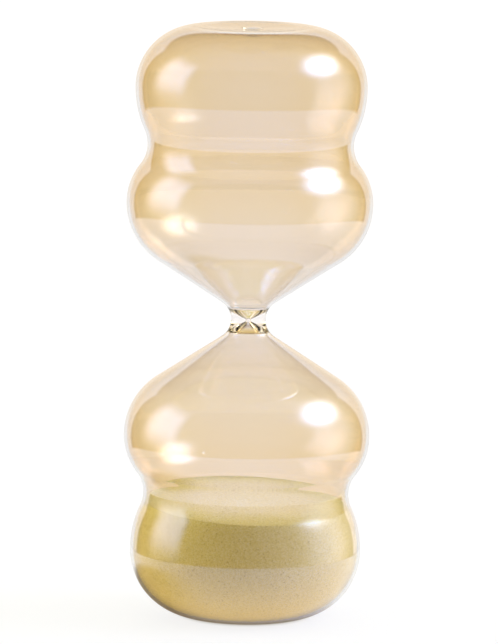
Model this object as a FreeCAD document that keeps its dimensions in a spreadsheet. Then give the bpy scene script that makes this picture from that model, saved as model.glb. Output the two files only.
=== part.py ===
"""A frameless blown-glass hourglass: two double-bellied glass bulbs, a clear neck joint with the sand orifice
in it, a fused seal over the filling hole and the charge of sand that rests in the lower bulb.

Millimetres, +Z up. The origin is the middle of the plane that the hourglass stands on.

Both bulbs have one shape but for the shoulder, which is flatter at the upper end, where the bulb was closed.
The outline is drawn in a bulb frame whose z = 0 is the middle of the neck and whose +z runs out to the bulb's
far end: neck fillet, cone, belly, waist, crown, shoulder, foot ring, dished end. The upper bulb stands on the
neck that way up, and the lower bulb, with its sand, is turned over below it.
"""

import FreeCAD, Part
import math
import os

import Sketcher

# Driving dimensions, in millimetres. The waist and the crown are stated from the belly outwards, and
# the heights as a stack from the neck to the end, so that any one of them can be changed by itself.
DIMENSIONS = {
    "neck_radius": (7.2, "outside radius of the glass at its narrowest"),
    "neck_arc": (8.7, "radius of the hollow curve round the neck, seen from the side"),
    "belly_height": (48.8, "from the neck's middle to the widest ring"),
    "belly_radius": (51.3, "outside radius of the widest ring"),
    "belly_arc": (28.3, "radius of the curve from the cone into the belly"),
    "waist_rise": (24.3, "from the widest ring to the waist"),
    "waist_step": (8.4, "how far the waist draws in from the belly"),
    "waist_arc": (14.2, "radius of the hollow curve at the waist"),
    "crown_rise": (24.0, "from the waist to the widest ring of the crown"),
    "crown_step": (5.3, "how far the crown swells out from the waist"),
    "upper_shoulder": (25.6, "radius of the quarter round from the crown to the foot ring, upper bulb"),
    "lower_shoulder": (27.9, "the same, lower bulb"),
    "foot_width": (3.0, "width of the flat ring that the glass stands on"),
    "dish_depth": (0.9, "how far the end inside the foot ring is dished"),
    "wall": (1.2, "thickness of the blown glass"),
    "joint_half_length": (5.0, "half the length of the clear neck joint"),
    "orifice_radius": (0.85, "radius of the throat that meters the sand"),
    "throat_half_length": (0.6, "half the length of the straight throat"),
    "fill_hole_radius": (4.5, "radius of the hole that the sand is poured in through"),
    "seal_rise": (0.5, "crown of the fused seal above the dish, outside"),
    "seal_drop": (0.6, "sag of the fused seal into the bulb"),
    "sand_depth": (49.5, "from the foot plane to the sand's edge on the glass"),
    "sand_crown": (1.5, "how far the middle of the sand stands above its edge"),
    "sand_gap": (0.12, "air between the inside of the glass and the grains' outer face"),
}
SHEET = "dims"
CROWN_HEIGHT = "(dims.belly_height + dims.waist_rise + dims.crown_rise)"
CROWN_RADIUS = "(dims.belly_radius - dims.waist_step + dims.crown_step)"
UPPER, LOWER = "upper_shoulder", "lower_shoulder"  # the dimension that each bulb has to itself
CLEAR = 5.0  # how far a cutting profile runs past the material that it cuts
FULL_TURN = 360.0
HALF_TURN = 180.0
START, END, CENTRE = 1, 2, 3  # Sketcher's numbers for the points of an edge
ORIGIN, X_AXIS, Z_AXIS = -1, -1, -2  # Sketcher's numbers for its own origin and axes
TOP_DIRECTION = math.pi / 2
BOTTOM_DIRECTION = -math.pi / 2


class Size:
    """The driving dimensions as plain numbers, and the few that follow from them."""

    def __init__(self):
        for name, (value, _) in DIMENSIONS.items():
            setattr(self, name, value)
        self.waist_radius = self.belly_radius - self.waist_step
        self.crown_radius = self.waist_radius + self.crown_step
        self.waist_height = self.belly_height + self.waist_rise
        self.crown_height = self.waist_height + self.crown_rise

    def end_height(self, shoulder):
        """From the neck's middle to the far end of the bulb with this shoulder."""
        return self.crown_height + getattr(self, shoulder)


def end_expression(shoulder):
    """The same height as an expression."""
    return f"({CROWN_HEIGHT} + dims.{shoulder})"


def make_sheet(doc):
    """The spreadsheet that every sketch and placement is bound to."""
    sheet = doc.addObject("Spreadsheet::Sheet", SHEET)
    for row, (name, (value, meaning)) in enumerate(DIMENSIONS.items(), start=1):
        sheet.set(f"A{row}", name)
        sheet.set(f"B{row}", str(value))
        sheet.set(f"C{row}", meaning)
        sheet.setAlias(f"B{row}", name)
    doc.recompute()
    return sheet


# Sketch helpers. A sketch lies in the body's XZ plane: its x is the radius and its y the height.


def new_sketch(body, name):
    sketch = body.newObject("Sketcher::SketchObject", name)
    plane = next(f for f in body.Origin.OriginFeatures if f.Role == "XZ_Plane")
    sketch.AttachmentSupport = [(plane, "")]
    sketch.MapMode = "FlatFace"
    return sketch


def line(sketch, start, end):
    segment = Part.LineSegment(FreeCAD.Vector(*start, 0), FreeCAD.Vector(*end, 0))
    return sketch.addGeometry(segment, False)


def arc(sketch, centre, radius, first_angle, last_angle):
    circle = Part.Circle(FreeCAD.Vector(*centre, 0), FreeCAD.Vector(0, 0, 1), radius)
    return sketch.addGeometry(Part.ArcOfCircle(circle, first_angle, last_angle), False)


def bound(sketch, constraint, name, expression):
    """Adds a sized constraint and binds it to the sheet."""
    index = sketch.addConstraint(constraint)
    sketch.renameConstraint(index, name)
    sketch.setExpression(f"Constraints.{name}", expression)


def place_point(sketch, name, edge, point, across=None, up=None):
    """Holds a point of an edge at a radius and a height, each an expression, or leaves out the one that is None."""
    x = sketch.getPoint(edge, point).x
    z = sketch.getPoint(edge, point).y
    if across is not None:
        across_size = Sketcher.Constraint("DistanceX", ORIGIN, START, edge, point, x)
        bound(sketch, across_size, name + "_radius", across)
    if up is not None:
        up_size = Sketcher.Constraint("DistanceY", ORIGIN, START, edge, point, z)
        bound(sketch, up_size, name + "_height", up)


def set_radius(sketch, name, edge, expression):
    radius = sketch.Geometry[edge].Radius
    bound(sketch, Sketcher.Constraint("Radius", edge, radius), name + "_arc", expression)


def join(sketch, kind, first, first_point, second, second_point):
    """Joins two edge ends, as "Coincident" or as "Tangent"."""
    sketch.addConstraint(Sketcher.Constraint(kind, first, first_point, second, second_point))


def on_line(sketch, edge, point, path):
    """Holds a point of an edge on a sketch axis or on another edge."""
    sketch.addConstraint(Sketcher.Constraint("PointOnObject", edge, point, path))


def s_curve_arc(step, rise, hollow_arc):
    """Radius of the round arc that meets a hollow one so that both are upright at their ends, step and rise apart."""
    return (step**2 + rise**2) / (2 * step) - hollow_arc


def cone_lean(size):
    """Lean of the cone from the axis: the line that touches both the neck's hollow arc and the belly's round one."""
    across = size.belly_radius - size.belly_arc - size.neck_radius - size.neck_arc
    reach = math.hypot(across, size.belly_height)
    return math.asin((size.neck_arc + size.belly_arc) / reach) + math.atan2(across, size.belly_height)


def draw_bulb_outline(sketch, size, shoulder_name, inset, inset_expression):
    """Half a bulb's section, from the neck's middle to the far end, inset from the outside by inset."""
    shoulder_arc = getattr(size, shoulder_name)
    lean = cone_lean(size)
    neck_centre = (size.neck_radius + size.neck_arc, 0)
    neck_round = size.neck_arc + inset
    belly_centre = (size.belly_radius - size.belly_arc, size.belly_height)
    belly_round = size.belly_arc - inset
    waist_centre = (size.waist_radius + size.waist_arc, size.waist_height)
    waist_round = size.waist_arc + inset
    upper_belly = s_curve_arc(size.waist_step, size.waist_rise, size.waist_arc)
    upper_belly_centre = (size.belly_radius - upper_belly, size.belly_height)
    lower_crown = s_curve_arc(size.crown_step, size.crown_rise, size.waist_arc)
    lower_crown_centre = (size.crown_radius - lower_crown, size.crown_height)
    shoulder_centre = (size.crown_radius - shoulder_arc, size.crown_height)
    belly_turn = math.atan2(size.waist_rise, waist_centre[0] - upper_belly_centre[0])
    crown_turn = math.atan2(size.crown_rise, waist_centre[0] - lower_crown_centre[0])
    foot_inner = shoulder_centre[0] - size.foot_width
    dish_round = (foot_inner**2 + size.dish_depth**2) / (2 * size.dish_depth)
    end_height = size.end_height(shoulder_name) - inset
    dish_height = end_height - size.dish_depth
    dish_turn = math.asin(foot_inner / dish_round)

    cone_bottom = (
        neck_centre[0] - neck_round * math.cos(lean),
        neck_round * math.sin(lean),
    )
    cone_top = (
        belly_centre[0] + belly_round * math.cos(lean),
        belly_centre[1] - belly_round * math.sin(lean),
    )

    neck_plane = line(sketch, (0, 0), (size.neck_radius - inset, 0))
    neck = arc(sketch, neck_centre, neck_round, math.pi - lean, math.pi)
    cone = line(sketch, cone_bottom, cone_top)
    belly_low = arc(sketch, belly_centre, belly_round, -lean, 0)
    belly_high = arc(sketch, upper_belly_centre, upper_belly - inset, 0, belly_turn)
    waist = arc(sketch, waist_centre, waist_round, math.pi - crown_turn, math.pi + belly_turn)
    crown_low = arc(sketch, lower_crown_centre, lower_crown - inset, -crown_turn, 0)
    shoulder = arc(sketch, shoulder_centre, shoulder_arc - inset, 0, TOP_DIRECTION)
    foot = line(sketch, (shoulder_centre[0], end_height), (foot_inner, end_height))
    dish_centre = (0, dish_height + dish_round)
    dish = arc(sketch, dish_centre, dish_round, BOTTOM_DIRECTION, BOTTOM_DIRECTION + dish_turn)
    axis = line(sketch, (0, dish_height), (0, 0))

    join(sketch, "Coincident", neck_plane, END, neck, END)
    join(sketch, "Tangent", neck, START, cone, START)
    join(sketch, "Tangent", cone, END, belly_low, START)
    join(sketch, "Tangent", belly_low, END, belly_high, START)
    join(sketch, "Tangent", belly_high, END, waist, END)
    join(sketch, "Tangent", waist, START, crown_low, START)
    join(sketch, "Tangent", crown_low, END, shoulder, START)
    join(sketch, "Coincident", shoulder, END, foot, START)
    join(sketch, "Coincident", foot, END, dish, END)
    join(sketch, "Coincident", dish, START, axis, START)
    join(sketch, "Coincident", axis, END, neck_plane, START)

    waist_height = "dims.belly_height + dims.waist_rise"
    waist_across = "dims.belly_radius - dims.waist_step + dims.waist_arc"
    shoulder_across = f"{CROWN_RADIUS} - dims.{shoulder_name}"
    place_point(sketch, "neck", neck, CENTRE, across="dims.neck_radius + dims.neck_arc")
    place_point(sketch, "belly", belly_low, CENTRE, "dims.belly_radius - dims.belly_arc", "dims.belly_height")
    place_point(sketch, "belly_top", belly_high, CENTRE, up="dims.belly_height")
    place_point(sketch, "waist", waist, CENTRE, waist_across, waist_height)
    place_point(sketch, "crown", crown_low, CENTRE, up=CROWN_HEIGHT)
    place_point(sketch, "shoulder", shoulder, CENTRE, shoulder_across, CROWN_HEIGHT)
    place_point(sketch, "foot", foot, START, shoulder_across)
    foot_size = Sketcher.Constraint("DistanceX", foot, END, foot, START, size.foot_width)
    bound(sketch, foot_size, "foot_ring", "dims.foot_width")
    dish_size = Sketcher.Constraint("DistanceY", dish, START, dish, END, size.dish_depth)
    bound(sketch, dish_size, "dish", "dims.dish_depth")
    set_radius(sketch, "neck", neck, f"dims.neck_arc + {inset_expression}")
    set_radius(sketch, "belly", belly_low, f"dims.belly_arc - {inset_expression}")
    set_radius(sketch, "waist", waist, f"dims.waist_arc + {inset_expression}")
    set_radius(sketch, "shoulder", shoulder, f"dims.{shoulder_name} - {inset_expression}")
    sketch.addConstraint(Sketcher.Constraint("Horizontal", foot))
    on_line(sketch, dish, CENTRE, Z_AXIS)
    on_line(sketch, dish, START, Z_AXIS)
    on_line(sketch, axis, END, Z_AXIS)
    on_line(sketch, neck, CENTRE, X_AXIS)
    on_line(sketch, neck_plane, START, X_AXIS)
    on_line(sketch, neck_plane, END, X_AXIS)


def draw_polygon(sketch, corners):
    """A closed polygon of (radius, radius expression, height, height expression), each corner held by the sheet.

    An expression of None holds the corner on the axis, for a radius, or on the neck's plane, for a height.
    """
    points = [(across, up) for across, _, up, _ in corners]
    following = points[1:] + points[:1]
    edges = [line(sketch, here, there) for here, there in zip(points, following)]
    for number, edge in enumerate(edges):
        join(sketch, "Coincident", edge, END, edges[(number + 1) % len(edges)], START)
    for number, (_, across, _, up) in enumerate(corners):
        place_point(sketch, f"corner_{number}", edges[number], START, across, up)
        if across is None:
            on_line(sketch, edges[number], START, Z_AXIS)
        if up is None:
            on_line(sketch, edges[number], START, X_AXIS)


# Feature helpers.


def turn_about_axis(body, kind, name, sketch):
    """A full Revolution or Groove of a sketch about the hourglass's axis."""
    feature = body.newObject(f"PartDesign::{kind}", name)
    feature.Profile = sketch
    feature.ReferenceAxis = (sketch, ["V_Axis"])
    feature.Angle = FULL_TURN
    sketch.Visibility = False
    body.Document.recompute()
    return feature


def turn_profile(body, kind, name, corners):
    """A Revolution or Groove of a polygon."""
    sketch = new_sketch(body, name + "_profile")
    draw_polygon(sketch, corners)
    return turn_about_axis(body, kind, name, sketch)


def bulb_solid(body, kind, name, size, shoulder, inset, inset_expression):
    """A Revolution or Groove of a bulb's outline."""
    sketch = new_sketch(body, name + "_outline")
    draw_bulb_outline(sketch, size, shoulder, inset, inset_expression)
    return turn_about_axis(body, kind, name, sketch)


def new_body(doc, name):
    body = doc.addObject("PartDesign::Body", name)
    body.Label = name
    return body


def stand_on_neck(body, upside_down):
    """Puts a body that was drawn in the bulb frame at the neck's height, turned over for the lower bulb."""
    if upside_down:
        body.Placement.Rotation = FreeCAD.Rotation(FreeCAD.Vector(1, 0, 0), HALF_TURN)
    body.setExpression("Placement.Base.z", end_expression(LOWER))


# The pieces.


def make_bulb(doc, size, name, shoulder, upside_down, fill_hole):
    """One blown bulb: the solid form, hollowed to the wall, cut open at the joint and drilled for filling."""
    body = new_body(doc, name)
    bulb_solid(body, "Revolution", "form", size, shoulder, 0, "0")
    bulb_solid(body, "Groove", "hollow", size, shoulder, size.wall, "dims.wall")
    reach, reach_expression = size.belly_radius + CLEAR, f"dims.belly_radius + {CLEAR}"
    neck_corners = [
        (0, None, -CLEAR, f"-{CLEAR}"),
        (reach, reach_expression, -CLEAR, f"-{CLEAR}"),
        (reach, reach_expression, size.joint_half_length, "dims.joint_half_length"),
        (0, None, size.joint_half_length, "dims.joint_half_length"),
    ]
    turn_profile(body, "Groove", "joint_end", neck_corners)
    if fill_hole:
        hole, hole_expression = size.fill_hole_radius, "dims.fill_hole_radius"
        past_end = size.end_height(shoulder) + CLEAR
        past_end_expression = f"{end_expression(shoulder)} + {CLEAR}"
        hole_corners = [
            (0, None, size.crown_height, CROWN_HEIGHT),
            (hole, hole_expression, size.crown_height, CROWN_HEIGHT),
            (hole, hole_expression, past_end, past_end_expression),
            (0, None, past_end, past_end_expression),
        ]
        turn_profile(body, "Groove", "fill_hole", hole_corners)
    stand_on_neck(body, upside_down)
    return body


def draw_joint_outline(sketch, size):
    """Half the neck joint's section: the outside of the neck, the flat end, the funnel and half the throat."""
    neck_centre = (size.neck_radius + size.neck_arc, 0)
    end = size.joint_half_length
    skin_turn = math.asin(end / size.neck_arc)
    outer_end = (neck_centre[0] - size.neck_arc * math.cos(skin_turn), end)
    mouth = (neck_centre[0] - math.sqrt((size.neck_arc + size.wall) ** 2 - end**2), end)
    throat_top = (size.orifice_radius, size.throat_half_length)
    throat_middle = (size.orifice_radius, 0)

    skin = arc(sketch, neck_centre, size.neck_arc, math.pi - skin_turn, math.pi)
    flat_end = line(sketch, outer_end, mouth)
    funnel = line(sketch, mouth, throat_top)
    throat = line(sketch, throat_top, throat_middle)
    neck_plane = line(sketch, throat_middle, (size.neck_radius, 0))
    inside_circle = Part.Circle(
        FreeCAD.Vector(*neck_centre, 0), FreeCAD.Vector(0, 0, 1), size.neck_arc + size.wall
    )
    bulb_inside = sketch.addGeometry(inside_circle, True)

    join(sketch, "Coincident", skin, START, flat_end, START)
    join(sketch, "Coincident", flat_end, END, funnel, START)
    join(sketch, "Coincident", funnel, END, throat, START)
    join(sketch, "Coincident", throat, END, neck_plane, START)
    join(sketch, "Coincident", neck_plane, END, skin, END)
    join(sketch, "Coincident", bulb_inside, CENTRE, skin, CENTRE)
    on_line(sketch, funnel, START, bulb_inside)
    sketch.addConstraint(Sketcher.Constraint("Horizontal", flat_end))
    sketch.addConstraint(Sketcher.Constraint("Vertical", throat))
    on_line(sketch, skin, CENTRE, X_AXIS)
    on_line(sketch, neck_plane, START, X_AXIS)
    on_line(sketch, neck_plane, END, X_AXIS)
    place_point(sketch, "neck", skin, CENTRE, across="dims.neck_radius + dims.neck_arc")
    place_point(sketch, "end", flat_end, START, up="dims.joint_half_length")
    place_point(sketch, "throat", throat, START, "dims.orifice_radius", "dims.throat_half_length")
    set_radius(sketch, "neck", skin, "dims.neck_arc")
    set_radius(sketch, "bulb_inside", bulb_inside, "dims.neck_arc + dims.wall")


def make_neck_joint(doc, size):
    """The clear joint between the bulbs, with a funnel each way down to the throat."""
    body = new_body(doc, "neck_joint")
    sketch = new_sketch(body, "half_outline")
    draw_joint_outline(sketch, size)
    upper_half = turn_about_axis(body, "Revolution", "upper_half", sketch)
    both_halves = body.newObject("PartDesign::Mirrored", "both_halves")
    both_halves.Originals = [upper_half]
    neck_plane = next(f for f in body.Origin.OriginFeatures if f.Role == "XY_Plane")
    both_halves.MirrorPlane = (neck_plane, [""])
    body.Tip = both_halves
    stand_on_neck(body, upside_down=False)
    return body


def make_fill_seal(doc, size):
    """The bead of glass fused into the filling hole: low dome outside, below the foot ring, and a sag inside."""
    body = new_body(doc, "fill_seal")
    sketch = new_sketch(body, "seal_outline")
    edge_top = size.end_height(UPPER) - size.dish_depth
    edge_bottom = edge_top - size.wall
    top = edge_top + size.seal_rise
    bottom = edge_bottom - size.seal_drop
    radius = size.fill_hole_radius
    dome = (radius**2 + size.seal_rise**2) / (2 * size.seal_rise)
    sag = (radius**2 + size.seal_drop**2) / (2 * size.seal_drop)
    dome_turn = math.asin(radius / dome)
    sag_turn = math.asin(radius / sag)

    dome_arc = arc(sketch, (0, top - dome), dome, TOP_DIRECTION - dome_turn, TOP_DIRECTION)
    sag_arc = arc(sketch, (0, bottom + sag), sag, BOTTOM_DIRECTION, BOTTOM_DIRECTION + sag_turn)
    side = line(sketch, (radius, edge_bottom), (radius, edge_top))
    axis = line(sketch, (0, top), (0, bottom))

    join(sketch, "Coincident", side, END, dome_arc, START)
    join(sketch, "Coincident", dome_arc, END, axis, START)
    join(sketch, "Coincident", axis, END, sag_arc, START)
    join(sketch, "Coincident", sag_arc, END, side, START)
    for edge, point in ((dome_arc, CENTRE), (sag_arc, CENTRE), (dome_arc, END), (sag_arc, START)):
        on_line(sketch, edge, point, Z_AXIS)
    sketch.addConstraint(Sketcher.Constraint("Vertical", side))
    edge_expression = f"{end_expression(UPPER)} - dims.dish_depth"
    place_point(sketch, "inner", side, START, "dims.fill_hole_radius", edge_expression + " - dims.wall")
    place_point(sketch, "outer", side, END, up=edge_expression)
    place_point(sketch, "dome", axis, START, up=edge_expression + " + dims.seal_rise")
    place_point(sketch, "sag", axis, END, up=edge_expression + " - dims.wall - dims.seal_drop")
    turn_about_axis(body, "Revolution", "bead", sketch)
    stand_on_neck(body, upside_down=False)
    return body


def draw_sand_cut(sketch, size):
    """Everything in the bulb that the sand does not reach: its lower bound is the gently heaped sand surface."""
    edge_height = size.end_height(LOWER) - size.sand_depth
    crown_height = edge_height - size.sand_crown
    edge_radius = size.waist_radius - size.wall
    heap = (edge_radius**2 + size.sand_crown**2) / (2 * size.sand_crown)
    heap_turn = math.asin(edge_radius / heap)
    reach = size.belly_radius + CLEAR

    surface = arc(sketch, (0, crown_height + heap), heap, BOTTOM_DIRECTION, BOTTOM_DIRECTION + heap_turn)
    shore = line(sketch, (edge_radius, edge_height), (reach, edge_height))
    side = line(sketch, (reach, edge_height), (reach, -CLEAR))
    far_end = line(sketch, (reach, -CLEAR), (0, -CLEAR))
    axis = line(sketch, (0, -CLEAR), (0, crown_height))

    join(sketch, "Coincident", surface, END, shore, START)
    join(sketch, "Coincident", shore, END, side, START)
    join(sketch, "Coincident", side, END, far_end, START)
    join(sketch, "Coincident", far_end, END, axis, START)
    join(sketch, "Coincident", axis, END, surface, START)
    on_line(sketch, surface, CENTRE, Z_AXIS)
    on_line(sketch, surface, START, Z_AXIS)
    on_line(sketch, axis, START, Z_AXIS)
    edge_expression = f"{end_expression(LOWER)} - dims.sand_depth"
    reach_expression = f"dims.belly_radius + {CLEAR}"
    place_point(sketch, "heap", surface, START, up=edge_expression + " - dims.sand_crown")
    edge_across = "dims.belly_radius - dims.waist_step - dims.wall"
    place_point(sketch, "edge", surface, END, edge_across, edge_expression)
    place_point(sketch, "shore", shore, END, reach_expression, edge_expression)
    place_point(sketch, "side", side, END, reach_expression, f"-{CLEAR}")
    place_point(sketch, "axis", axis, START, up=f"-{CLEAR}")


def make_sand(doc, size):
    """The whole charge of sand at rest in the lower bulb: the inside of the bulb up to the sand's surface."""
    body = new_body(doc, "sand_charge")
    inset = size.wall + size.sand_gap
    bulb_solid(body, "Revolution", "bulb_inside", size, LOWER, inset, "(dims.wall + dims.sand_gap)")
    sketch = new_sketch(body, "surface_outline")
    draw_sand_cut(sketch, size)
    turn_about_axis(body, "Groove", "sand_surface", sketch)
    stand_on_neck(body, upside_down=True)
    return body


def check_document(doc):
    """Stops the run when any feature failed to build or any piece is not a sound solid."""
    doc.recompute()
    for item in doc.Objects:
        if "Invalid" in item.State or "Error" in item.State:
            raise RuntimeError(f"{item.Name} did not build: {item.State}")
        if item.TypeId == "Sketcher::SketchObject" and not item.FullyConstrained:
            raise RuntimeError(f"{item.Label} is not fully constrained")
        shape = getattr(item, "Shape", None)
        if shape is not None and (shape.isNull() or not shape.isValid()):
            raise RuntimeError(f"{item.Name} has no sound shape")


def main():
    doc = FreeCAD.newDocument("hourglass")
    make_sheet(doc)
    size = Size()
    pieces = [
        make_bulb(doc, size, "upper_bulb", UPPER, upside_down=False, fill_hole=True),
        make_bulb(doc, size, "lower_bulb", LOWER, upside_down=True, fill_hole=False),
        make_neck_joint(doc, size),
        make_fill_seal(doc, size),
        make_sand(doc, size),
    ]
    check_document(doc)
    os.makedirs("parts", exist_ok=True)
    for piece in pieces:
        piece.Shape.exportStep(f"parts/{piece.Label}.step")
        print(f"{piece.Label}: {piece.Shape.Volume:.0f} mm3, {len(piece.Shape.Solids)} solid")


main()
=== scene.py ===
"""A frameless blown-glass hourglass on a pale floor, in soft studio light.

Metres, +Z up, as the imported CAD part. Its far side is +Y and the camera stands at -Y.
"""

import math
from collections import namedtuple

import bmesh
import bpy
import numpy as np
from mathutils import Matrix, Vector


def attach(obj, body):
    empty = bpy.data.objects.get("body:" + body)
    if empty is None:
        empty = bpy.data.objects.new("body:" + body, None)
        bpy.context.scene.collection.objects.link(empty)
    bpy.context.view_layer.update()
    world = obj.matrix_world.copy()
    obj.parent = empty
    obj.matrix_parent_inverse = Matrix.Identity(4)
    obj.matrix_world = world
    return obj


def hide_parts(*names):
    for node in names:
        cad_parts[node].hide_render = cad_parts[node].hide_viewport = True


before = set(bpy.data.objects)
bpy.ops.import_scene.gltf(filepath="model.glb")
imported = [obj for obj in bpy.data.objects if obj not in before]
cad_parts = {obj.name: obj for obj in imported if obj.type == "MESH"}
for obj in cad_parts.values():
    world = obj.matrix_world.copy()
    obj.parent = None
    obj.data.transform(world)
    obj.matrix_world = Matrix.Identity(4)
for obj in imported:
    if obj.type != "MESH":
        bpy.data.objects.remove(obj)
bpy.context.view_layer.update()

MM = 0.001

# Sizes of the glass in millimetres, as the CAD part has them. A bulb's heights are from the neck's middle.
NECK_RADIUS = 7.2
NECK_ARC = 8.7
BELLY_HEIGHT = 48.8
BELLY_RADIUS = 51.3
BELLY_ARC = 28.3
WAIST_HEIGHT = BELLY_HEIGHT + 24.3
WAIST_RADIUS = BELLY_RADIUS - 8.4
WAIST_ARC = 14.2
CROWN_HEIGHT = WAIST_HEIGHT + 24.0
CROWN_RADIUS = WAIST_RADIUS + 5.3
UPPER_SHOULDER = 25.6
LOWER_SHOULDER = 27.9
FOOT_WIDTH = 3.0
DISH_DEPTH = 0.9
WALL = 1.2
JOINT_HALF = 5.0
ORIFICE_RADIUS = 0.85
THROAT_HALF = 0.6
FILL_HOLE_RADIUS = 4.5
SEAL_RISE = 0.5
SEAL_DROP = 0.6
SAND_DEPTH = 49.5
SAND_CROWN = 1.5
SAND_GAP = 0.12

MIDDLE = CROWN_HEIGHT + LOWER_SHOULDER  # height of the neck's middle above the floor

# How finely the glass is drawn.
SEGMENTS = 256
NECK_POINTS, BELLY_POINTS, BLEND_POINTS, WAIST_POINTS, SHOULDER_POINTS, DISH_POINTS = 14, 34, 16, 18, 34, 14
JOINT_POINTS, SEAL_POINTS = 40, 16
GLASS_STEP, FUNNEL_STEP = 1.0, 0.5  # mm, the longest straight run of an outline
SAME_MM, SAME_M = 1e-6, 1e-7  # points closer than this are one, in millimetres and in metres


# Outlines, as lists of (radius, height) in millimetres.


def sweep(centre, radius, first, last, count):
    """Points of an arc, ends included."""
    turns = np.linspace(first, last, count)
    return [(centre[0] + radius * math.cos(t), centre[1] + radius * math.sin(t)) for t in turns]


def waist_to_swell(rise, step):
    """Radius of the arc that leaves a swell's widest point and meets the waist's arc without a corner."""
    return (step**2 + rise**2) / (2 * step) - WAIST_ARC


def bulb_outline(shoulder_arc, inset):
    """A bulb's section from the joint's end to the middle of the dished end, moved inwards by inset."""
    across = BELLY_RADIUS - BELLY_ARC - NECK_RADIUS - NECK_ARC
    tangent = math.asin((NECK_ARC + BELLY_ARC) / math.hypot(across, BELLY_HEIGHT))
    lean = tangent + math.atan2(across, BELLY_HEIGHT)
    neck = (NECK_RADIUS + NECK_ARC, 0)
    neck_turn = math.asin(JOINT_HALF / (NECK_ARC + inset))
    belly = (BELLY_RADIUS - BELLY_ARC, BELLY_HEIGHT)
    waist = (WAIST_RADIUS + WAIST_ARC, WAIST_HEIGHT)

    rise, step = WAIST_HEIGHT - BELLY_HEIGHT, BELLY_RADIUS - WAIST_RADIUS
    belly_blend = waist_to_swell(rise, step)
    above_belly = (BELLY_RADIUS - belly_blend, BELLY_HEIGHT)
    belly_turn = math.atan2(rise, waist[0] - above_belly[0])
    rise, step = CROWN_HEIGHT - WAIST_HEIGHT, CROWN_RADIUS - WAIST_RADIUS
    crown_blend = waist_to_swell(rise, step)
    below_crown = (CROWN_RADIUS - crown_blend, CROWN_HEIGHT)
    crown_turn = math.atan2(rise, waist[0] - below_crown[0])

    shoulder = (CROWN_RADIUS - shoulder_arc, CROWN_HEIGHT)
    foot_inner = shoulder[0] - FOOT_WIDTH
    dish_arc = (foot_inner**2 + DISH_DEPTH**2) / (2 * DISH_DEPTH)
    dish = (0, CROWN_HEIGHT + shoulder_arc - inset - DISH_DEPTH + dish_arc)
    dish_turn = math.asin(foot_inner / dish_arc)

    points = sweep(neck, NECK_ARC + inset, math.pi - neck_turn, math.pi - lean, NECK_POINTS)
    points += sweep(belly, BELLY_ARC - inset, -lean, 0, BELLY_POINTS)
    points += sweep(above_belly, belly_blend - inset, 0, belly_turn, BLEND_POINTS)[1:]
    points += sweep(waist, WAIST_ARC + inset, math.pi + belly_turn, math.pi - crown_turn, WAIST_POINTS)[1:]
    points += sweep(below_crown, crown_blend - inset, -crown_turn, 0, BLEND_POINTS)[1:]
    points += sweep(shoulder, shoulder_arc - inset, 0, math.pi / 2, SHOULDER_POINTS)[1:]
    points += sweep(dish, dish_arc, -math.pi / 2 + dish_turn, -math.pi / 2, DISH_POINTS)
    return points


def refine(points, longest):
    """Cuts each straight run of an outline that is longer than longest."""
    out = [points[0]]
    for (r0, z0), (r1, z1) in zip(points, points[1:]):
        count = max(1, math.ceil(math.hypot(r1 - r0, z1 - z0) / longest))
        out += [(r0 + (r1 - r0) * i / count, z0 + (z1 - z0) * i / count) for i in range(1, count + 1)]
    return out


# Meshes.


def add_object(name, verts, faces):
    """A smooth mesh object in the scene."""
    mesh = bpy.data.meshes.new(name)
    mesh.from_pydata(verts, [], faces)
    mesh.polygons.foreach_set("use_smooth", [True] * len(faces))
    piece = bpy.data.objects.new(name, mesh)
    bpy.context.scene.collection.objects.link(piece)
    return piece


def turned(name, runs, upside_down=False):
    """A mesh turned about the axis. A run is (outline, material number) and starts where the last one ended.

    Outlines go round the section so that the solid is on their left. A point on the axis becomes one vertex.
    """
    verts, faces, numbers = [], [], []
    turns = np.linspace(0, 2 * math.pi, SEGMENTS, endpoint=False)
    cosines, sines = np.cos(turns), np.sin(turns)
    flip = -1 if upside_down else 1

    def ring(r, z):
        """Adds a ring's vertices and says where they start and how many there are."""
        start = len(verts)
        if r < SAME_MM:
            verts.append((0, 0, (MIDDLE + flip * z) * MM))
            return start, 1
        for c, s in zip(cosines, sines):
            verts.append((r * c * MM, r * s * MM, (MIDDLE + flip * z) * MM))
        return start, SEGMENTS

    def corner(ring_made, k):
        start, count = ring_made
        return start + (k % SEGMENTS if count > 1 else 0)

    first_point = runs[0][0][0]
    first = here = ring(*first_point)
    steps = [(point, number) for outline, number in runs for point in outline[1:]]
    for made, ((r, z), number) in enumerate(steps, start=1):
        closing = made == len(steps) and math.hypot(r - first_point[0], z - first_point[1]) < SAME_MM
        there = first if closing else ring(r, z)
        for k in range(SEGMENTS):
            face = [corner(here, k), corner(here, k + 1), corner(there, k + 1), corner(there, k)]
            face = [v for i, v in enumerate(face) if v not in face[:i]]
            faces.append(face if upside_down else face[::-1])
            numbers.append(number)
        here = there
    piece = add_object(name, verts, faces)
    piece.data.polygons.foreach_set("material_index", numbers)
    return piece


def face_outwards(piece):
    """Merges doubled corners and turns every face of a closed mesh outwards."""
    closed = bmesh.new()
    closed.from_mesh(piece.data)
    bmesh.ops.remove_doubles(closed, verts=closed.verts, dist=SAME_M)
    bmesh.ops.recalc_face_normals(closed, faces=closed.faces)
    closed.to_mesh(piece.data)
    closed.free()


def join_into(piece, other):
    """Adds other's mesh to piece's."""
    both = bmesh.new()
    both.from_mesh(piece.data)
    both.from_mesh(other.data)
    bmesh.ops.remove_doubles(both, verts=both.verts, dist=SAME_M)
    both.to_mesh(piece.data)
    both.free()
    bpy.data.objects.remove(other)


def keep(piece, node):
    """Shows piece in place of a CAD node."""
    face_outwards(piece)
    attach(piece, "root")
    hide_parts(node)


# Materials.

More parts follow.
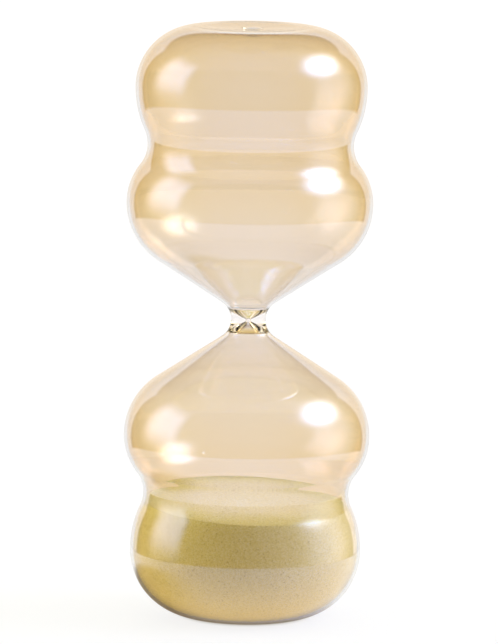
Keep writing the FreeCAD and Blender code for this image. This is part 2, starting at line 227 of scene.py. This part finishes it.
# The two inputs and the output of a Mix node, by the kind of value that it mixes.
MIX_SOCKETS = {"FLOAT": (2, 3, 0), "VECTOR": (4, 5, 1), "RGBA": (6, 7, 2)}
CLOUDS_FROM, CLOUDS_TO = 0.3, 0.7  # the noise's values at which a drifting colour reaches its two tints


def rgba(colour):
    return (*colour, 1.0)


class Graph:
    """The nodes of one material or world, with a short call for each kind that repeats."""

    def __init__(self, tree):
        self.nodes, self.links = tree.nodes, tree.links

    def put(self, socket, value):
        """Links an output to a socket, or sets the socket to a plain value."""
        if isinstance(value, bpy.types.NodeSocket):
            self.links.new(value, socket)
        else:
            socket.default_value = value

    def node(self, kind, **settings):
        node = self.nodes.new("ShaderNode" + kind)
        for key, value in settings.items():
            setattr(node, key, value)
        return node

    def maths(self, operation, *values):
        node = self.node("Math", operation=operation)
        for socket, value in zip(node.inputs, values):
            self.put(socket, value)
        return node.outputs[0]

    def vectors(self, operation, *values):
        node = self.node("VectorMath", operation=operation)
        sockets = (node.inputs[0], node.inputs["Scale"]) if operation == "SCALE" else node.inputs
        for socket, value in zip(sockets, values):
            self.put(socket, value)
        return node.outputs["Value" if operation in ("LENGTH", "DISTANCE") else "Vector"]

    def ranged(self, value, low, high, start=0.0, end=1.0, smooth=True):
        """start up to low, end from high on, and between them a smooth or a straight rise."""
        node = self.node("MapRange", interpolation_type="SMOOTHSTEP" if smooth else "LINEAR")
        names = ("Value", "From Min", "From Max", "To Min", "To Max")
        for name, number in zip(names, (value, low, high, start, end)):
            self.put(node.inputs[name], number)
        return node.outputs["Result"]

    def mix(self, kind, factor, a, b, blend="MIX"):
        """a where factor is 0, b where it is 1. kind is FLOAT, VECTOR or RGBA."""
        node = self.node("Mix", data_type=kind, blend_type=blend)
        first, second, out = MIX_SOCKETS[kind]
        for number, value in ((0, factor), (first, a), (second, b)):
            self.put(node.inputs[number], value)
        return node.outputs[out]

    def ramp(self, value, stops):
        """A colour for each value. stops are (position, colour)."""
        node = self.node("ValToRGB")
        elements = node.color_ramp.elements
        while len(elements) < len(stops):
            elements.new(0.5)
        for element, (position, colour) in zip(elements, stops):
            element.position, element.color = position, rgba(colour)
        self.put(node.inputs["Fac"], value)
        return node.outputs["Color"]

    def place(self):
        """Where a point is, in the object's own metres."""
        return self.node("TexCoord").outputs["Object"]

    def split(self, vector):
        node = self.node("SeparateXYZ")
        self.put(node.inputs[0], vector)
        return node.outputs

    def channels(self, colour):
        node = self.node("SeparateColor")
        self.put(node.inputs[0], colour)
        return node.outputs

    def clouds(self, place, scale, low, high):
        """A colour that drifts between two tints in soft clouds."""
        noise = self.node("TexNoise")
        self.put(noise.inputs["Scale"], scale)
        self.put(noise.inputs["Vector"], place)
        return self.ramp(noise.outputs["Fac"], ((CLOUDS_FROM, low), (CLOUDS_TO, high)))


def principled(name, **values):
    """A new material with one Principled shader, its plain sockets set."""
    material = bpy.data.materials.new(name)
    material.use_nodes = True
    graph = Graph(material.node_tree)
    shader = next(n for n in graph.nodes if n.type == "BSDF_PRINCIPLED")
    for socket, value in values.items():
        shader.inputs[socket.replace("_", " ")].default_value = value
    return material, graph, shader


GLASS_IOR = 1.47
SKIN_TINTS = ((0.985, 0.985, 0.98), (1.0, 0.995, 0.985))
SKIN_CLOUDS = 12.0  # clouds to the metre
GRAZING = 0.40  # the outer skin's tint begins where the cosine of the slant falls below this
SKIN_AT_GRAZING = (0.36, 0.31, 0.25)


def clear_glass():
    """The outer skin. Seen edge on, the thickness of the wall takes up some light."""
    material, graph, shader = principled("clear_glass", Roughness=0.0, IOR=GLASS_IOR, Transmission_Weight=1.0)
    soft = graph.clouds(graph.place(), SKIN_CLOUDS, *SKIN_TINTS)
    facing = graph.node("LayerWeight").outputs["Facing"]
    edge_on = graph.ranged(facing, 1.0 - GRAZING, 1.0, smooth=False)
    graph.put(shader.inputs["Base Color"], graph.mix("RGBA", edge_on, soft, rgba(SKIN_AT_GRAZING)))
    return material


LUSTRE_SHEEN = (0.22, 0.85, 2.9)
LUSTRE_TINTS = ((0.865, 0.715, 0.56), (0.85, 0.695, 0.53))
LUSTRE_CLOUDS = 18.0  # clouds to the metre
SLANT_POWERS = (0.9, 1.5, 2.6)  # how fast each colour deepens where light crosses at a slant
STEEPEST = 0.4  # the cosine past which a slant deepens the lustre no more
NEAR_NECK, FAR_FROM_NECK = 8.0, 55.0  # mm from the neck's middle: the lustre turns greyer towards the neck
NECK_STRENGTHS = (1.0, 0.64, 0.34)


def lustre():
    """The stained inner face: it passes amber, deeper where light crosses at a slant, and reflects blue."""
    sheen = rgba(LUSTRE_SHEEN)
    material, graph, shader = principled(
        "amber_lustre", Roughness=0.0, IOR=GLASS_IOR, Transmission_Weight=1.0, Specular_Tint=sheen
    )
    maths = graph.maths
    place = graph.place()
    stain = graph.channels(graph.clouds(place, LUSTRE_CLOUDS, *LUSTRE_TINTS))

    # The slant inside the glass, whether the face is met from the glass or from the air.
    from_glass = maths("SUBTRACT", 1.0, graph.node("LayerWeight").outputs["Facing"])
    sine2 = maths("SUBTRACT", 1.0, maths("MULTIPLY", from_glass, from_glass))
    from_air = maths("SQRT", maths("SUBTRACT", 1.0, maths("DIVIDE", sine2, GLASS_IOR**2)))
    backfacing = graph.node("NewGeometry").outputs["Backfacing"]
    cosine = graph.mix("FLOAT", backfacing, from_air, from_glass)
    slant = maths("DIVIDE", 1.0, maths("MAXIMUM", cosine, STEEPEST))

    from_neck = maths("ABSOLUTE", maths("SUBTRACT", graph.split(place)[2], MIDDLE * MM))
    merge = graph.node("CombineColor")
    for socket, tone, power, neck_strength in zip(merge.inputs, stain, SLANT_POWERS, NECK_STRENGTHS):
        fade = graph.ranged(from_neck, NEAR_NECK * MM, FAR_FROM_NECK * MM, neck_strength, 1.0, smooth=False)
        deepening = maths("MULTIPLY", maths("POWER", slant, power), fade)
        graph.put(socket, maths("POWER", tone, deepening))
    graph.put(shader.inputs["Base Color"], merge.outputs[0])
    return material


JOINT_IOR = 1.30  # less than glass has, so that the funnels look clear instead of mirroring the dim room
JOINT_TINTS = ((0.95, 0.91, 0.90), (0.97, 0.94, 0.93))
JOINT_CLOUDS = 300.0  # clouds to the metre
JOINT_AMBER = (0.86, 0.69, 0.38)
JOINT_CLEAR_TO, JOINT_AMBER_FROM = 2.0, 3.6  # mm below the neck's middle


def joint_glass():
    """Clear, with lustre drawn in from the lower bulb at its lower end."""
    material, graph, shader = principled("joint_glass", Roughness=0.0, IOR=JOINT_IOR, Transmission_Weight=1.0)
    place = graph.place()
    clear = graph.clouds(place, JOINT_CLOUDS, *JOINT_TINTS)
    below = graph.maths("SUBTRACT", MIDDLE * MM, graph.split(place)[2])
    amount = graph.ranged(below, JOINT_CLEAR_TO * MM, JOINT_AMBER_FROM * MM)
    graph.put(shader.inputs["Base Color"], graph.mix("RGBA", amount, clear, rgba(JOINT_AMBER)))
    return material


def fused():
    """Where two glass pieces are melted together there is no surface to see."""
    material = bpy.data.materials.new("fused_glass")
    material.use_nodes = True
    graph = Graph(material.node_tree)
    graph.nodes.clear()
    through = graph.node("BsdfTransparent").outputs["BSDF"]
    graph.put(graph.node("OutputMaterial").inputs["Surface"], through)
    return material


GRAINS_PER_METRE = 2400.0
GRAINS = (
    (0.0, (0.70, 0.63, 0.39)),
    (0.04, (0.89, 0.85, 0.59)),
    (0.55, (0.97, 0.95, 0.72)),
    (0.92, (1.0, 1.0, 0.95)),
)
# Painted shade and light: the sides of the sand get a darker, deeper yellow tone, and the top that faces up a
# paler, lit tone.
SHADED_SIDE = (0.93, 0.88, 0.50)
LIT_TOP, TOP_RIM_AMBER_LIGHT = (1.0, 0.98, 0.84), (1.0, 0.98, 0.56)
UP_FROM, UP_TO = 0.3, 0.6  # how far the surface faces up where the painted shade of the side turns into the paler painted-lit tone of the top
RIM_FROM, RIM_TO = 41.0, 48.0  # mm above the floor, from where the side takes on the top's paler painted-lit tone
TOP_FROM, TOP_TO = 20.0, 42.0  # mm from the axis, where the top turns deeper yellow towards its rim: painted amber light, as if it came through the glass
GRAIN_BUMP, GRAIN_HEIGHT = 0.5, 0.2  # strength, and height in mm


def sand_material():
    """Grains that each have a colour of their own, over painted light and shade: the sides get a darker,
    deeper yellow tone than the top, which faces up and is painted paler, and yellower towards its rim as if
    lit through the amber glass.
    """
    material, graph, shader = principled("sand", Roughness=0.9)
    place = graph.place()
    cells = graph.node("TexVoronoi")
    graph.put(cells.inputs["Scale"], GRAINS_PER_METRE)
    graph.put(cells.inputs["Vector"], place)
    grains = graph.ramp(graph.channels(cells.outputs["Color"])[0], GRAINS)

    faces_up = graph.split(graph.node("NewGeometry").outputs["True Normal"])[2]
    height = graph.split(place)[2]
    # Painted light: where the surface faces up, or lies high near the top's edge, it takes the paler lit
    # tone; elsewhere it takes the darker painted-shade tone.
    lit_top_mask = graph.maths(
        "MAXIMUM", graph.ranged(faces_up, UP_FROM, UP_TO), graph.ranged(height, RIM_FROM * MM, RIM_TO * MM)
    )
    radius = graph.vectors("LENGTH", graph.vectors("MULTIPLY", place, (1, 1, 0)))
    # Painted light: the top turns yellower towards its rim, standing in for amber light through the glass.
    rim_amber_light = graph.ranged(radius, TOP_FROM * MM, TOP_TO * MM)
    top = graph.mix("RGBA", rim_amber_light, rgba(LIT_TOP), rgba(TOP_RIM_AMBER_LIGHT))
    tone = graph.mix("RGBA", lit_top_mask, rgba(SHADED_SIDE), top)
    graph.put(shader.inputs["Base Color"], graph.mix("RGBA", 1.0, grains, tone, blend="MULTIPLY"))

    bump = graph.node("Bump")
    graph.put(bump.inputs["Strength"], GRAIN_BUMP)
    graph.put(bump.inputs["Distance"], GRAIN_HEIGHT * MM)
    graph.put(bump.inputs["Height"], cells.outputs["Distance"])
    graph.put(shader.inputs["Normal"], bump.outputs["Normal"])
    return material


CLEAR, LUSTRE, FUSED, SAND, JOINT = clear_glass(), lustre(), fused(), sand_material(), joint_glass()


# Glass pieces.


def bulb(name, shoulder_arc, upside_down, fill_hole):
    """One bulb: the clear skin, the stained inside and the ring that is fused to the joint."""
    outer = refine(bulb_outline(shoulder_arc, 0), GLASS_STEP)
    inner = refine(bulb_outline(shoulder_arc, WALL), GLASS_STEP)
    if fill_hole:

        def to_hole(points):
            kept = [p for p in points if p[0] > FILL_HOLE_RADIUS or p[1] < CROWN_HEIGHT]
            return kept + [(FILL_HOLE_RADIUS, kept[-1][1])]

        outer, inner = to_hole(outer), to_hole(inner)
        hole_wall = [outer[-1], inner[-1]]
        runs = [(outer, 0), (hole_wall, 2), (inner[::-1], 1), ([inner[0], outer[0]], 2)]
        piece = turned(name, runs, upside_down)
    else:
        piece = turned(name, [(outer, 0)], upside_down)
        inside = turned(name + "_inside", [(inner[::-1], 1), ([inner[0], outer[0]], 2)], upside_down)
        join_into(piece, inside)
    for material in (CLEAR, LUSTRE, FUSED):
        piece.data.materials.append(material)
    return piece


def neck_joint(name):
    """The joint's outside, its flat ends, and inside it a funnel at each end and the throat between them."""
    centre = (NECK_RADIUS + NECK_ARC, 0)
    skin_turn = math.asin(JOINT_HALF / NECK_ARC)
    skin = sweep(centre, NECK_ARC, math.pi + skin_turn, math.pi - skin_turn, JOINT_POINTS)
    mouth = centre[0] - math.sqrt((NECK_ARC + WALL) ** 2 - JOINT_HALF**2)
    throat = [(ORIFICE_RADIUS, THROAT_HALF), (ORIFICE_RADIUS, -THROAT_HALF)]
    inside = [(mouth, JOINT_HALF), *throat, (mouth, -JOINT_HALF)]
    upper_end, lower_end = [skin[-1], inside[0]], [inside[-1], skin[0]]
    runs = [(skin, 0), (upper_end, 1), (refine(inside, FUNNEL_STEP), 0), (lower_end, 1)]
    piece = turned(name, runs)
    for material in (JOINT, FUSED):
        piece.data.materials.append(material)
    return piece


def fill_seal(name):
    """A bead of glass in the filling hole, domed above and below."""
    edge_top = CROWN_HEIGHT + UPPER_SHOULDER - DISH_DEPTH
    edge_bottom = edge_top - WALL
    dome = (FILL_HOLE_RADIUS**2 + SEAL_RISE**2) / (2 * SEAL_RISE)
    sag = (FILL_HOLE_RADIUS**2 + SEAL_DROP**2) / (2 * SEAL_DROP)
    dome_turn, sag_turn = math.asin(FILL_HOLE_RADIUS / dome), math.asin(FILL_HOLE_RADIUS / sag)
    up, down = math.pi / 2, -math.pi / 2
    bottom = sweep((0, edge_bottom - SEAL_DROP + sag), sag, down, down + sag_turn, SEAL_POINTS)
    top = sweep((0, edge_top + SEAL_RISE - dome), dome, up - dome_turn, up, SEAL_POINTS)
    piece = turned(name, [(bottom, 0), ([bottom[-1], top[0]], 1), (top, 0)])
    for material in (CLEAR, FUSED):
        piece.data.materials.append(material)
    return piece


keep(bulb("upper_bulb_glass", UPPER_SHOULDER, False, True), "upper_bulb")
keep(bulb("lower_bulb_glass", LOWER_SHOULDER, True, False), "lower_bulb")
keep(neck_joint("neck_joint_glass"), "neck_joint")
keep(fill_seal("fill_seal_glass"), "fill_seal")

# Sand: a heap that lies a little higher at the back and the left, with a rough top, and fills the bulb below.
SAND_SEGMENTS = 400
TOP_RINGS, BLEND_RINGS = 90, 14
BLEND_DEPTH = 9.0  # mm below the edge at which the rings are level again
SAND_STEP = 0.6  # mm, the longest straight run of its outline
LEAN_LEFT, LEAN_BACK = 0.03, 0.07
SETTLED = 1.3  # mm, how far the middle of the leaning top lies below the level one
ROUGH, PACKED = 0.07, 0.04  # mm, how far single grains stand out of the top and of the side
CALM = 20.0  # mm from the axis, within which the bottom's grains stand out less
WAVES = 7
WAVE_NUMBERS, WAVE_PHASES, WAVE_HEIGHTS = (0.04, 0.16), (0, 6.3), (0.08, 0.22)  # limits of the random draws
CROSSING = 3  # waves of a later phase than this run across the others
END_POINTS = 20  # points of the outline that lie in the lower end, past every height that the edge can have


def sand_heap(name):
    rng = np.random.default_rng(7)
    turns = np.linspace(0, 2 * math.pi, SAND_SEGMENTS, endpoint=False)
    c, s = np.cos(turns), np.sin(turns)
    inside = refine(bulb_outline(LOWER_SHOULDER, WALL + SAND_GAP), SAND_STEP)
    wall = [p for p in inside if p[1] > BELLY_HEIGHT][:-END_POINTS]

    def wall_radius(height):
        return np.interp(MIDDLE - height, [depth for _, depth in wall], [r for r, _ in wall])

    level = SAND_DEPTH - SETTLED
    waist_radius = WAIST_RADIUS - WALL - SAND_GAP
    edge_height = level + waist_radius * (LEAN_BACK * s - LEAN_LEFT * c)
    edge_radius = wall_radius(edge_height)
    ranges = (WAVE_NUMBERS, WAVE_NUMBERS, WAVE_PHASES, WAVE_HEIGHTS)
    waves = [[rng.uniform(*limits) for limits in ranges] for _ in range(WAVES)]

    rings = [np.array([[0.0, 0.0, level + SAND_CROWN]])]
    for ring in range(1, TOP_RINGS + 1):
        part = ring / TOP_RINGS
        x, y = part * edge_radius * c, part * edge_radius * s
        z = level + LEAN_BACK * y - LEAN_LEFT * x + SAND_CROWN * (1 - part**2)
        for across, along, phase, height in waves:
            along = along if phase > CROSSING else -along
            z = z + height * (1 - part**4) * np.sin(across * x + along * y + phase)
        z = z + rng.normal(0, ROUGH, SAND_SEGMENTS) * (min(1, 3 * part) if ring < TOP_RINGS else 0)
        rings.append(np.stack([x, y, z], axis=1))

    below = [p for p in inside if p[1] > MIDDLE - SAND_DEPTH + BLEND_DEPTH]
    bottom = MIDDLE - below[0][1]
    for ring in range(1, BLEND_RINGS):
        z = edge_height + (bottom - edge_height) * ring / BLEND_RINGS
        r = wall_radius(z) - rng.uniform(0, PACKED, SAND_SEGMENTS)
        rings.append(np.stack([r * c, r * s, z], axis=1))
    for r, depth in below[:-1]:
        packed = r - rng.uniform(0, PACKED, SAND_SEGMENTS) * min(1.0, r / CALM)
        rings.append(np.stack([packed * c, packed * s, np.full(SAND_SEGMENTS, MIDDLE - depth)], axis=1))
    rings.append(np.array([[0.0, 0.0, MIDDLE - below[-1][1]]]))
    return add_object(name, (np.concatenate(rings) * MM).tolist(), faces_between(rings))


def faces_between(rings):
    """Faces that join each ring of a heap to the next. The first and the last ring are single points."""
    starts = np.cumsum([0] + [len(ring) for ring in rings])
    faces = []
    for here, there in zip(range(len(rings) - 1), range(1, len(rings))):
        for k in range(SAND_SEGMENTS):
            n = (k + 1) % SAND_SEGMENTS
            upper = [starts[here]] if len(rings[here]) == 1 else [starts[here] + n, starts[here] + k]
            lower = [starts[there]] if len(rings[there]) == 1 else [starts[there] + k, starts[there] + n]
            faces.append([int(v) for v in upper + lower])
    return faces


sand = sand_heap("sand_grains")
sand.data.materials.append(SAND)
keep(sand, "sand_charge")

# Floor, in metres.
FLOOR_SIDE, FLOOR_FRONT, FLOOR_BACK = 1.2, 0.42, 1.6
FLOOR_TONE, FLOOR_GLOW = 0.1, 0.83
SHADE_FROM, SHADE_TO, MIRRORED_SHADE_TO = 0.018, 0.029, 0.05  # contact shade, from the axis
SHADOW_TINT = (0.22, 0.15, 0.07)
SHADOW_AT, SHADOW_FROM, SHADOW_TO = (-0.06, 0.01, 0.0), 0.03, 0.075  # a shadow that only the glass mirrors
NEAR_LIGHT, FAR_LIGHT = 1.46, 0.02  # what the floor throws onto the sand: near the axis, and farther off
NEAR_TO, FAR_FROM = 0.06, 0.2
PASSES_FROM, PASSES_TO = 0.19, 0.21  # where the floor ends for light that the glass mirrors


def floor_material():
    """White, in shade where the glass meets it."""
    material, graph, shader = principled(
        "floor", Roughness=0.8, Base_Color=rgba((FLOOR_TONE,) * 3), Emission_Color=(1, 1, 1, 1)
    )
    maths = graph.maths
    path = graph.node("LightPath")
    mirrored = maths("MINIMUM", path.outputs["Glossy Depth"], 1.0)
    matt = maths("MINIMUM", path.outputs["Diffuse Depth"], 1.0)
    spot = graph.place()
    reach = graph.vectors("LENGTH", spot)

    contact = graph.ranged(reach, SHADE_FROM, SHADE_TO)
    out_of_shadow = graph.ranged(graph.vectors("DISTANCE", spot, SHADOW_AT), SHADOW_FROM, SHADOW_TO)
    mirrored_contact = maths("MULTIPLY", out_of_shadow, graph.ranged(reach, SHADE_FROM, MIRRORED_SHADE_TO))
    lit = graph.mix("FLOAT", mirrored, contact, mirrored_contact)
    graph.put(shader.inputs["Emission Color"], graph.mix("RGBA", lit, rgba(SHADOW_TINT), (1, 1, 1, 1)))
    thrown = graph.ranged(reach, NEAR_TO, FAR_FROM, NEAR_LIGHT, FAR_LIGHT, smooth=False)
    graph.put(shader.inputs["Emission Strength"], graph.mix("FLOAT", matt, FLOOR_GLOW, thrown))

    either = graph.node("MixShader")
    passes = maths("MINIMUM", maths("MULTIPLY", mirrored, graph.ranged(reach, PASSES_FROM, PASSES_TO)), 1.0)
    graph.put(either.inputs[0], passes)
    graph.put(either.inputs[1], shader.outputs["BSDF"])
    graph.put(either.inputs[2], graph.node("BsdfTransparent").outputs["BSDF"])
    output = next(n for n in graph.nodes if n.type == "OUTPUT_MATERIAL")
    graph.put(output.inputs["Surface"], either.outputs[0])
    return material


corners = [
    (-FLOOR_SIDE, -FLOOR_FRONT, 0),
    (FLOOR_SIDE, -FLOOR_FRONT, 0),
    (FLOOR_SIDE, FLOOR_BACK, 0),
    (-FLOOR_SIDE, FLOOR_BACK, 0),
]
floor = add_object("floor", corners, [(0, 1, 2, 3)])
floor.data.materials.append(floor_material())

# Surroundings, by direction, in degrees: azimuth is 0 behind the hourglass and +90 at its right.
Lamp = namedtuple("Lamp", "colour azimuth width elevation height sharpness")

# What the glass mirrors: a dim room in front, white paper behind and below, and soft lamps at the sides.
DIM = (0.16, 0.15, 0.14)
PAPER = (0.82, 0.83, 0.85)
BEHIND_HALF, BEHIND_TOP, BEHIND_SOFT = 40.0, 28.0, 1.5  # the backdrop's half width, its top and its soft edge
PAPER_EDGE, PAPER_EDGE_BEND = -16.0, 3.0  # elevation of the paper's near edge, and its rise towards the back
MIRRORED_LAMPS = (
    Lamp((13.5, 12.8, 10.8), 85.0, 24.0, 38.0, 13.0, 1.5),  # high at the right
    Lamp((1.35, 1.25, 1.08), 86.0, 26.0, 12.0, 42.0, 1.5),  # broad and faint at the right
    Lamp((0.40, 0.30, 0.05), 75.0, 40.0, 10.0, 60.0, 2.0),  # warm walls at both sides
    Lamp((0.32, 0.24, 0.02), -90.0, 50.0, 10.0, 60.0, 2.0),
    Lamp((0.10, -0.06, -0.26), 0.0, 40.0, 8.0, 14.0, 2.0),  # the foot of the backdrop is a little warmer
)
# The window at the left, and the angles where it begins, is full, is still full and ends.
LEFT_LAMP = (3.4, 2.92, 2.48)
LEFT_AZIMUTHS, LEFT_ELEVATIONS = (-115.0, -101.0, -80.0, -58.0), (-14.0, 16.0, 30.0, 50.0)

# What lights the sand and the floor: bright from both sides, dim from in front.
EVEN = (1.27, 1.30, 1.10)
FRONT_LOSS = (-1.12, -1.14, -0.98)
ROOM_LAMPS = (
    Lamp(FRONT_LOSS, 180.0, 62.0, 8.0, 42.0, 1.0),  # azimuth jumps at 180, so the front takes two
    Lamp(FRONT_LOSS, -180.0, 62.0, 8.0, 42.0, 1.0),
    Lamp((10.4, 14.0, 43.0), 92.0, 21.0, 6.0, 22.0, 1.0),
    Lamp((7.2, 8.0, 9.4), -92.0, 17.5, 8.0, 22.0, 1.0),
)
FROM_BELOW, BELOW_FROM, BELOW_TO = (0.90, 1.05, 0.95), -50.0, -10.0
FROM_ABOVE, ABOVE_FROM, ABOVE_TO = (0.80, 0.70, 0.12), 35.0, 65.0

# What is seen through the glass and past it is the white paper all round.
SEEN_THROUGH = (0.98, 0.98, 0.98)
SEEN_DIRECTLY = (1.05, 1.05, 1.05)


def studio():
    world = bpy.data.worlds.new("studio")
    bpy.context.scene.world = world
    world.use_nodes = True
    graph = Graph(world.node_tree)
    graph.nodes.clear()
    maths, vectors = graph.maths, graph.vectors
    x, y, z = graph.split(graph.node("TexCoord").outputs["Generated"])
    azimuth = maths("DEGREES", maths("ARCTAN2", x, y))
    elevation = maths("DEGREES", maths("ARCSINE", z))

    def plateau(value, start, full_from, full_to, end):
        """1 between full_from and full_to, 0 outside start and end."""
        falling = maths("SUBTRACT", 1.0, graph.ranged(value, full_to, end))
        return maths("MULTIPLY", graph.ranged(value, start, full_from), falling)

    def under(value, low, high):
        return maths("SUBTRACT", 1.0, graph.ranged(value, low, high))

    def glow(lamp):
        """A soft round lamp: 1 at its middle and fading outwards, with a flatter middle if it is sharper."""
        across = maths("DIVIDE", maths("SUBTRACT", azimuth, lamp.azimuth), lamp.width)
        up = maths("DIVIDE", maths("SUBTRACT", elevation, lamp.elevation), lamp.height)
        off = maths("ADD", maths("MULTIPLY", across, across), maths("MULTIPLY", up, up))
        return maths("EXPONENT", maths("MULTIPLY", maths("POWER", off, lamp.sharpness), -1.0))

    def add(light, colour, amount):
        return vectors("ADD", light, vectors("SCALE", colour, amount))

    side, top, soft = BEHIND_HALF, BEHIND_TOP, BEHIND_SOFT
    sides = plateau(azimuth, -side - soft, -side + soft, side - soft, side + soft)
    behind = maths("MULTIPLY", sides, under(elevation, top - soft, top + soft))
    near_edge = maths("ADD", maths("MULTIPLY", y, PAPER_EDGE_BEND), PAPER_EDGE)
    below = under(maths("SUBTRACT", elevation, near_edge), -1.0, 1.0)
    mirrored = add(DIM, PAPER, maths("MAXIMUM", behind, below))
    for lamp in MIRRORED_LAMPS:
        mirrored = add(mirrored, lamp.colour, glow(lamp))
    left = maths("MULTIPLY", plateau(azimuth, *LEFT_AZIMUTHS), plateau(elevation, *LEFT_ELEVATIONS))
    mirrored = add(mirrored, LEFT_LAMP, left)

    room = EVEN
    for lamp in ROOM_LAMPS:
        room = add(room, lamp.colour, glow(lamp))
    room = add(room, FROM_BELOW, under(elevation, BELOW_FROM, BELOW_TO))
    room = add(room, FROM_ABOVE, graph.ranged(elevation, ABOVE_FROM, ABOVE_TO))

    path = graph.node("LightPath").outputs
    light = graph.mix("VECTOR", maths("MINIMUM", path["Glossy Depth"], 1.0), SEEN_THROUGH, mirrored)
    light = graph.mix("VECTOR", maths("MINIMUM", path["Diffuse Depth"], 1.0), light, room)
    light = graph.mix("VECTOR", path["Is Camera Ray"], light, SEEN_DIRECTLY)
    background = graph.node("Background")
    graph.put(background.inputs["Color"], light)
    graph.put(graph.node("OutputWorld").inputs["Surface"], background.outputs[0])


studio()

# Camera.
ELEVATION = math.radians(8.0)
DISTANCE = 2.78
ROLL = math.radians(0.83)
PIXELS_PER_MM = 2.40
IMAGE_HEIGHT = 644
SENSOR = 36.0
AIM_RIGHT, AIM_DOWN = 0.3, 1.1  # mm from the neck's middle
AIM = Vector((AIM_RIGHT * MM, 0, (MIDDLE - AIM_DOWN) * MM))

camera_data = bpy.data.cameras.new("camera")
camera = bpy.data.objects.new("camera", camera_data)
bpy.context.scene.collection.objects.link(camera)
direction = Vector((0, -math.cos(ELEVATION), math.sin(ELEVATION)))
camera.location = AIM + direction * DISTANCE
camera.rotation_mode = "QUATERNION"
camera.rotation_quaternion = direction.to_track_quat("Z", "Y") @ Matrix.Rotation(ROLL, 3, "Z").to_quaternion()
camera_data.sensor_width = SENSOR
camera_data.lens = PIXELS_PER_MM * DISTANCE / MM * SENSOR / IMAGE_HEIGHT
camera_data.clip_end = 20.0
bpy.context.scene.camera = camera

scene = bpy.context.scene
scene.view_settings.view_transform = "Standard"
scene.cycles.max_bounces = 24
scene.cycles.transmission_bounces = 24
scene.cycles.glossy_bounces = 12
scene.cycles.diffuse_bounces = 4
scene.cycles.transparent_max_bounces = 24
scene.cycles.sample_clamp_indirect = 8.0
